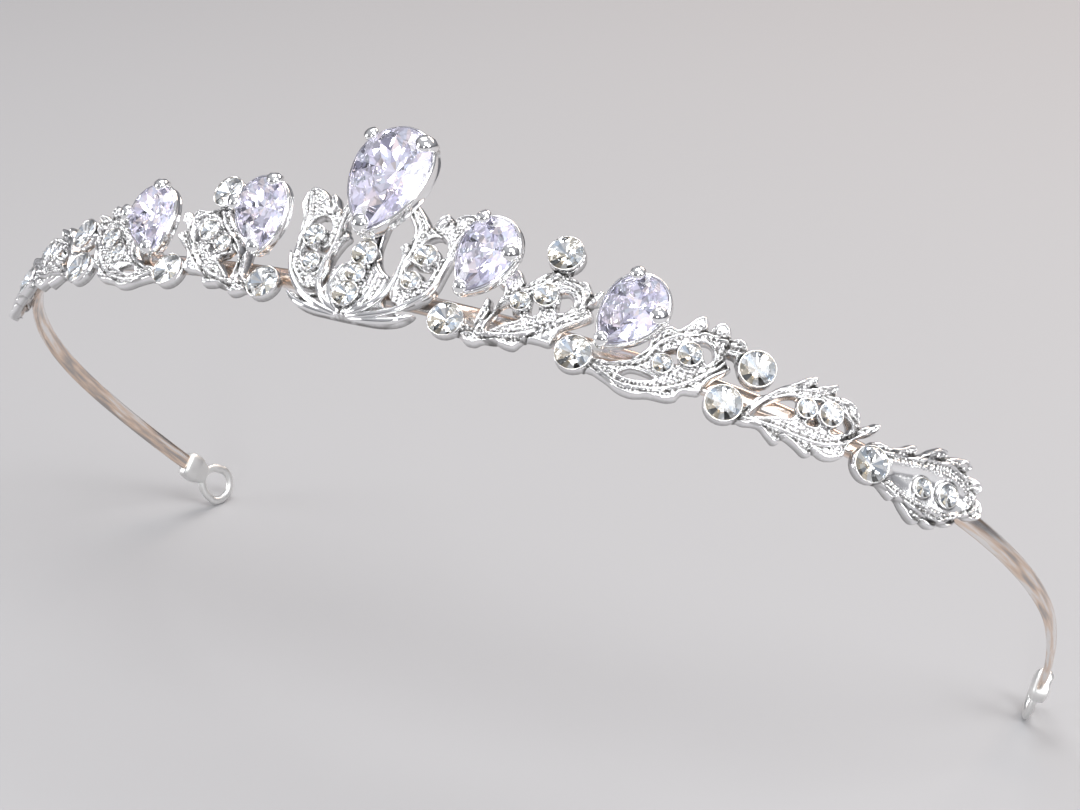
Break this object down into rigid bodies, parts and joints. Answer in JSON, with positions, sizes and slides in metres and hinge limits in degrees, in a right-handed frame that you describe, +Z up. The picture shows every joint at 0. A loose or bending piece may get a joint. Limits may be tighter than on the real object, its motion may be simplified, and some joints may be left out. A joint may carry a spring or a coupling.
{
  "type": "bridal tiara",
  "caption": "Silver-plated bridal tiara: slim open headband with ring ends and a leafy vine of pear and round clear stones along the front.",
  "frame": {"origin": "centre of the head opening in the plane of the headband, 45 mm behind the band's front centre", "axes": "as worn: +X to the wearer's left, -Y the way the wearer faces, +Z up; the headband's plane is pitched about X with its front carried high and its ring ends low"},
  "size_m": [0.1492, 0.0651, 0.0859],
  "materials": {
    "centre_casting": "bright silver plate over beaded casting",
    "centre_stone_bottom": "faceted clear glass with mirror foil behind",
    "centre_stone_middle": "faceted clear glass with mirror foil behind",
    "centre_stone_top": "faceted clear glass with mirror foil behind",
    "headband": "polished silver plate",
    "high_stone_1_left": "faceted clear glass with mirror foil behind",
    "high_stone_1_right": "faceted clear glass with mirror foil behind",
    "high_stone_2_left": "faceted clear glass with mirror foil behind",
    "high_stone_2_right": "faceted clear glass with mirror foil behind",
    "leaf_1_big_stone_left": "faceted clear glass with mirror foil behind",
    "leaf_1_big_stone_right": "faceted clear glass with mirror foil behind",
    "leaf_1_left": "bright silver plate over beaded casting",
    "leaf_1_right": "bright silver plate over beaded casting",
    "leaf_1_small_stone_left": "faceted clear glass with mirror foil behind",
    "leaf_1_small_stone_right": "faceted clear glass with mirror foil behind",
    "leaf_2_big_stone_left": "faceted clear glass with mirror foil behind",
    "leaf_2_big_stone_right": "faceted clear glass with mirror foil behind",
    "leaf_2_left": "bright silver plate over beaded casting",
    "leaf_2_right": "bright silver plate over beaded casting",
    "leaf_2_small_stone_left": "faceted clear glass with mirror foil behind",
    "leaf_2_small_stone_right": "faceted clear glass with mirror foil behind",
    "leaf_3_big_stone_left": "faceted clear glass with mirror foil behind",
    "leaf_3_big_stone_right": "faceted clear glass with mirror foil behind",
    "leaf_3_left": "bright silver plate over beaded casting",
    "leaf_3_right": "bright silver plate over beaded casting",
    "leaf_3_small_stone_left": "faceted clear glass with mirror foil behind",
    "leaf_3_small_stone_right": "faceted clear glass with mirror foil behind",
    "leaf_4_big_stone_left": "faceted clear glass with mirror foil behind",
    "leaf_4_big_stone_right": "faceted clear glass with mirror foil behind",
    "leaf_4_left": "bright silver plate over beaded casting",
    "leaf_4_right": "bright silver plate over beaded casting",
    "leaf_4_small_stone_left": "faceted clear glass with mirror foil behind",
    "leaf_4_small_stone_right": "faceted clear glass with mirror foil behind",
    "leaf_5_big_stone_left": "faceted clear glass with mirror foil behind",
    "leaf_5_big_stone_right": "faceted clear glass with mirror foil behind",
    "leaf_5_left": "bright silver plate over beaded casting",
    "leaf_5_right": "bright silver plate over beaded casting",
    "leaf_5_small_stone_left": "faceted clear glass with mirror foil behind",
    "leaf_5_small_stone_right": "faceted clear glass with mirror foil behind",
    "low_stone_1_left": "faceted clear glass with mirror foil behind",
    "low_stone_1_right": "faceted clear glass with mirror foil behind",
    "low_stone_2_left": "faceted clear glass with mirror foil behind",
    "low_stone_2_right": "faceted clear glass with mirror foil behind",
    "low_stone_3_left": "faceted clear glass with mirror foil behind",
    "low_stone_3_right": "faceted clear glass with mirror foil behind",
    "low_stone_4_left": "faceted clear glass with mirror foil behind",
    "low_stone_4_right": "faceted clear glass with mirror foil behind",
    "pear_setting_centre": "polished silver plate",
    "pear_setting_inner_left": "polished silver plate",
    "pear_setting_inner_right": "polished silver plate",
    "pear_setting_outer_left": "polished silver plate",
    "pear_setting_outer_right": "polished silver plate",
    "pear_stone_centre": "faceted clear stone, very slightly lavender",
    "pear_stone_inner_left": "faceted clear stone, very slightly lavender",
    "pear_stone_inner_right": "faceted clear stone, very slightly lavender",
    "pear_stone_outer_left": "faceted clear stone, very slightly lavender",
    "pear_stone_outer_right": "faceted clear stone, very slightly lavender",
    "ring_terminal_left": "polished silver plate",
    "ring_terminal_right": "polished silver plate"
  },
  "bodies": {
    "root": {"centre_casting": "centre_casting", "centre_stone_bottom": "centre_stone_bottom", "centre_stone_middle": "centre_stone_middle", "centre_stone_top": "centre_stone_top", "headband": "headband", "high_stone_1_left": "high_stone_1_left", "high_stone_1_right": "high_stone_1_right", "high_stone_2_left": "high_stone_2_left", "high_stone_2_right": "high_stone_2_right", "leaf_1_big_stone_left": "leaf_1_big_stone_left", "leaf_1_big_stone_right": "leaf_1_big_stone_right", "leaf_1_left": "leaf_1_left", "leaf_1_right": "leaf_1_right", "leaf_1_small_stone_left": "leaf_1_small_stone_left", "leaf_1_small_stone_right": "leaf_1_small_stone_right", "leaf_2_big_stone_left": "leaf_2_big_stone_left", "leaf_2_big_stone_right": "leaf_2_big_stone_right", "leaf_2_left": "leaf_2_left", "leaf_2_right": "leaf_2_right", "leaf_2_small_stone_left": "leaf_2_small_stone_left", "leaf_2_small_stone_right": "leaf_2_small_stone_right", "leaf_3_big_stone_left": "leaf_3_big_stone_left", "leaf_3_big_stone_right": "leaf_3_big_stone_right", "leaf_3_left": "leaf_3_left", "leaf_3_right": "leaf_3_right", "leaf_3_small_stone_left": "leaf_3_small_stone_left", "leaf_3_small_stone_right": "leaf_3_small_stone_right", "leaf_4_big_stone_left": "leaf_4_big_stone_left", "leaf_4_big_stone_right": "leaf_4_big_stone_right", "leaf_4_left": "leaf_4_left", "leaf_4_right": "leaf_4_right", "leaf_4_small_stone_left": "leaf_4_small_stone_left", "leaf_4_small_stone_right": "leaf_4_small_stone_right", "leaf_5_big_stone_left": "leaf_5_big_stone_left", "leaf_5_big_stone_right": "leaf_5_big_stone_right", "leaf_5_left": "leaf_5_left", "leaf_5_right": "leaf_5_right", "leaf_5_small_stone_left": "leaf_5_small_stone_left", "leaf_5_small_stone_right": "leaf_5_small_stone_right", "low_stone_1_left": "low_stone_1_left", "low_stone_1_right": "low_stone_1_right", "low_stone_2_left": "low_stone_2_left", "low_stone_2_right": "low_stone_2_right", "low_stone_3_left": "low_stone_3_left", "low_stone_3_right": "low_stone_3_right", "low_stone_4_left": "low_stone_4_left", "low_stone_4_right": "low_stone_4_right", "pear_setting_centre": "pear_setting_centre", "pear_setting_inner_left": "pear_setting_inner_left", "pear_setting_inner_right": "pear_setting_inner_right", "pear_setting_outer_left": "pear_setting_outer_left", "pear_setting_outer_right": "pear_setting_outer_right", "pear_stone_centre": "pear_stone_centre", "pear_stone_inner_left": "pear_stone_inner_left", "pear_stone_inner_right": "pear_stone_inner_right", "pear_stone_outer_left": "pear_stone_outer_left", "pear_stone_outer_right": "pear_stone_outer_right", "ring_terminal_left": "ring_terminal_left", "ring_terminal_right": "ring_terminal_right"}
  },
  "joints": []
}
